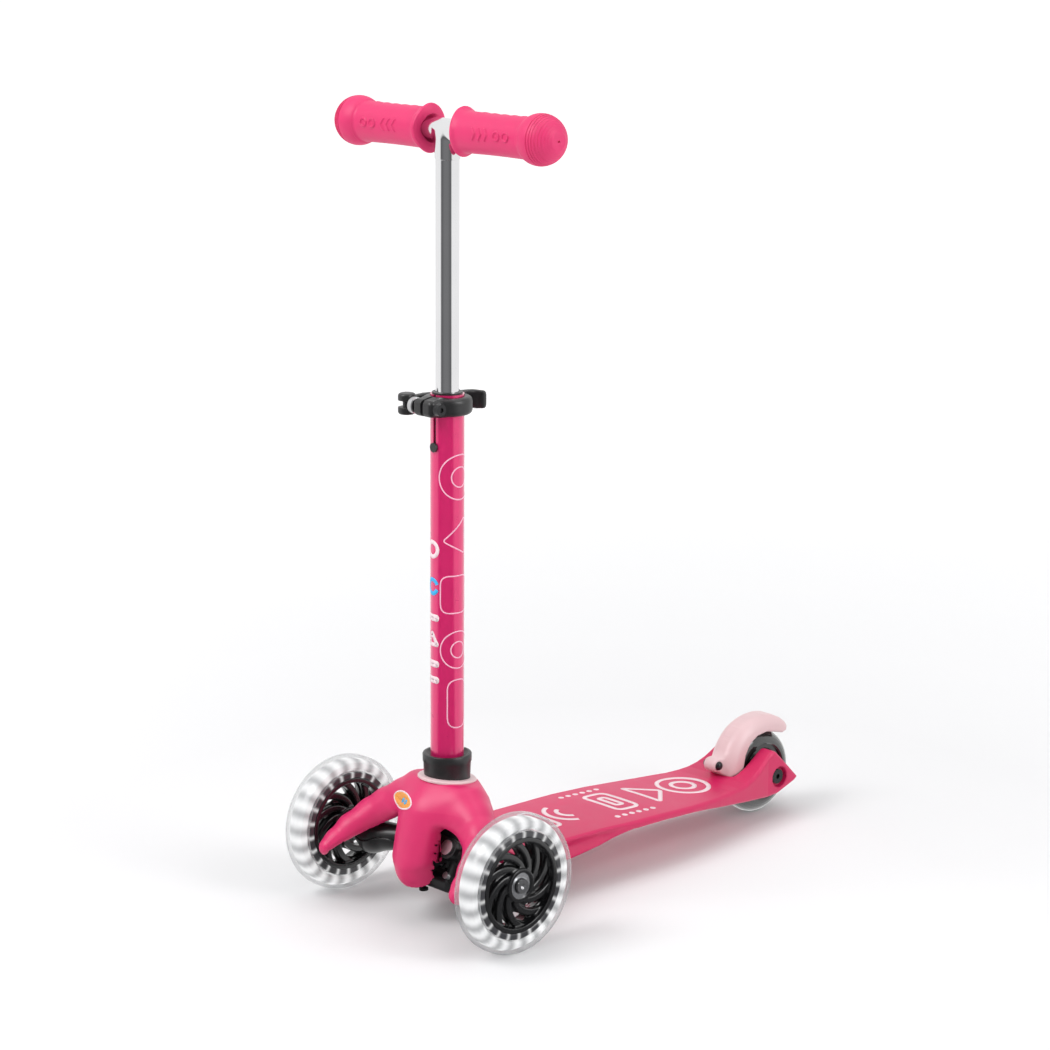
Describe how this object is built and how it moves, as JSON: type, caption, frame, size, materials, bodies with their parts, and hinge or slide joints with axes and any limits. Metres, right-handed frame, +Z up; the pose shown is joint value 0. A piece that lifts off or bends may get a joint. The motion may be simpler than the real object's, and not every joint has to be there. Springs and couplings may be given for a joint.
{
  "type": "kick scooter",
  "caption": "Child's lean-to-steer kick scooter with light-up front wheels, a foot brake over the rear wheel and a height-adjustable T-bar.",
  "frame": {"origin": "on the floor, half way between the front of the front wheels and the back of the rear wheel, on the centre plane", "axes": "+Z up along the column, -Y the direction of travel, +X the rider's left"},
  "size_m": [0.26, 0.516, 0.6909],
  "materials": {
    "deck_plastic": "fine moulded texture, satin",
    "shell_plastic": "fine moulded texture, satin",
    "black_plastic": "moulded, satin",
    "arm_plastic": "moulded, semi-gloss",
    "core_plastic": "moulded, glossy",
    "pale_plastic": "slightly translucent, satin",
    "bush_plastic": "natural acetal",
    "pink_tube": "metallic lacquer, glossy",
    "silver_tube": "polished",
    "grip_rubber": "soft matt with moulded pattern",
    "black_steel": "blackened",
    "steel": "plain",
    "bolt_steel": "bright plated",
    "bearing_steel": "bright",
    "spring_steel": "spring wire",
    "light_ring": "smoke-grey translucent with white lights",
    "clear_tyre": "clear cast polyurethane",
    "rear_tyre": "smoke-clear cast polyurethane"
  },
  "bodies": {
    "frame": {"deck": "deck_plastic", "head_shell": "shell_plastic", "chassis": "black_plastic", "bottom_cover": "black_plastic", "collar": "black_plastic", "gasket_ring": "pale_plastic", "lower_tube": "pink_tube", "slot_peg": "black_plastic", "tube_bushing": "black_plastic", "clamp_ring": "black_plastic", "clamp_bolt": "black_steel", "clamp_nut": "black_steel", "cam_washer": "black_steel", "lever_pin": "steel", "kingpin_left": "steel", "kingpin_right": "steel", "centering_springs": "spring_steel", "rear_bushes": "bush_plastic", "rear_axle": "black_steel", "rear_axle_nut": "black_steel", "brake_pin": "black_steel", "brake_spring": "spring_steel", "release_spring": "spring_steel", "deck_screws": "black_steel", "cover_screws": "black_steel"},
    "handlebar": {"upper_tube": "silver_tube", "tube_plug": "black_plastic", "tee_sleeve": "silver_tube", "crossbar": "silver_tube", "grip_left": "grip_rubber", "grip_right": "grip_rubber"},
    "clamp_lever": {"clamp_lever": "black_plastic"},
    "steering_left": {"arm_left": "arm_plastic", "kingpin_bushes_left": "bush_plastic", "tie_pin_left": "steel", "front_axle_left": "bolt_steel"},
    "steering_right": {"arm_right": "arm_plastic", "kingpin_bushes_right": "bush_plastic", "tie_pin_right": "steel", "front_axle_right": "bolt_steel"},
    "tie_rod": {"tie_rod": "arm_plastic"},
    "front_wheel_left": {"front_core_left": "core_plastic", "led_ring_left": "light_ring", "front_tyre_left": "clear_tyre", "front_bearings_left": "bearing_steel", "front_spacer_left": "steel"},
    "front_wheel_right": {"front_core_right": "core_plastic", "led_ring_right": "light_ring", "front_tyre_right": "clear_tyre", "front_bearings_right": "bearing_steel", "front_spacer_right": "steel"},
    "rear_wheel": {"rear_core": "core_plastic", "rear_tyre": "rear_tyre", "rear_bearings": "bearing_steel", "rear_spacer": "steel"},
    "brake": {"brake": "pale_plastic", "brake_pad": "steel"},
    "release_button": {"release_button": "steel", "snap_pin": "steel"}
  },
  "joints": [
    {"name": "handlebar_height", "type": "slide", "parent": "frame", "child": "handlebar", "axis": [0, 0.0087, 1], "range_m": [-0.19, 0]},
    {"name": "clamp_lever_open", "type": "hinge", "parent": "frame", "child": "clamp_lever", "pos_m": [-0.024, -0.19265, 0.44368], "axis": [0, 0.0087, 1], "range_deg": [0, 150]},
    {"name": "lean_left", "type": "hinge", "parent": "frame", "child": "steering_left", "pos_m": [0.027, -0.184, 0.062], "axis": [0, -0.866, 0.5], "range_deg": [-8, 8], "stiffness_Nm_per_rad": 40, "deforming": ["centering_springs"]},
    {"name": "lean_right", "type": "hinge", "parent": "frame", "child": "steering_right", "pos_m": [-0.027, -0.184, 0.062], "axis": [0, -0.866, 0.5], "range_deg": [-8, 8], "stiffness_Nm_per_rad": 40},
    {"name": "tie_rod_swing", "type": "hinge", "parent": "steering_left", "child": "tie_rod", "pos_m": [0.027, -0.1911, 0.0407], "axis": [0, -0.866, 0.5], "range_deg": [-8, 8]},
    {"name": "front_spin_left", "type": "hinge", "parent": "steering_left", "child": "front_wheel_left", "pos_m": [0.1085, -0.198, 0.06], "axis": [1, 0, 0], "continuous": true},
    {"name": "front_spin_right", "type": "hinge", "parent": "steering_right", "child": "front_wheel_right", "pos_m": [-0.1085, -0.198, 0.06], "axis": [1, 0, 0], "continuous": true},
    {"name": "rear_spin", "type": "hinge", "parent": "frame", "child": "rear_wheel", "pos_m": [0, 0.218, 0.04], "axis": [1, 0, 0], "continuous": true},
    {"name": "brake_press", "type": "hinge", "parent": "frame", "child": "brake", "pos_m": [0, 0.152, 0.058], "axis": [-1, 0, 0], "range_deg": [0, 4], "stiffness_Nm_per_rad": 3, "springref_deg": -8.59, "deforming": ["brake_spring"]},
    {"name": "column_release", "type": "slide", "parent": "frame", "child": "release_button", "axis": [0, -1, 0], "range_m": [0, 0.0035], "stiffness_N_per_m": 600, "springref_m": -0.004, "deforming": ["release_spring"]}
  ],
  "couplings": [
    {"joint": "lean_right", "follows": "lean_left", "ratio": 1},
    {"joint": "tie_rod_swing", "follows": "lean_left", "ratio": -1}
  ]
}
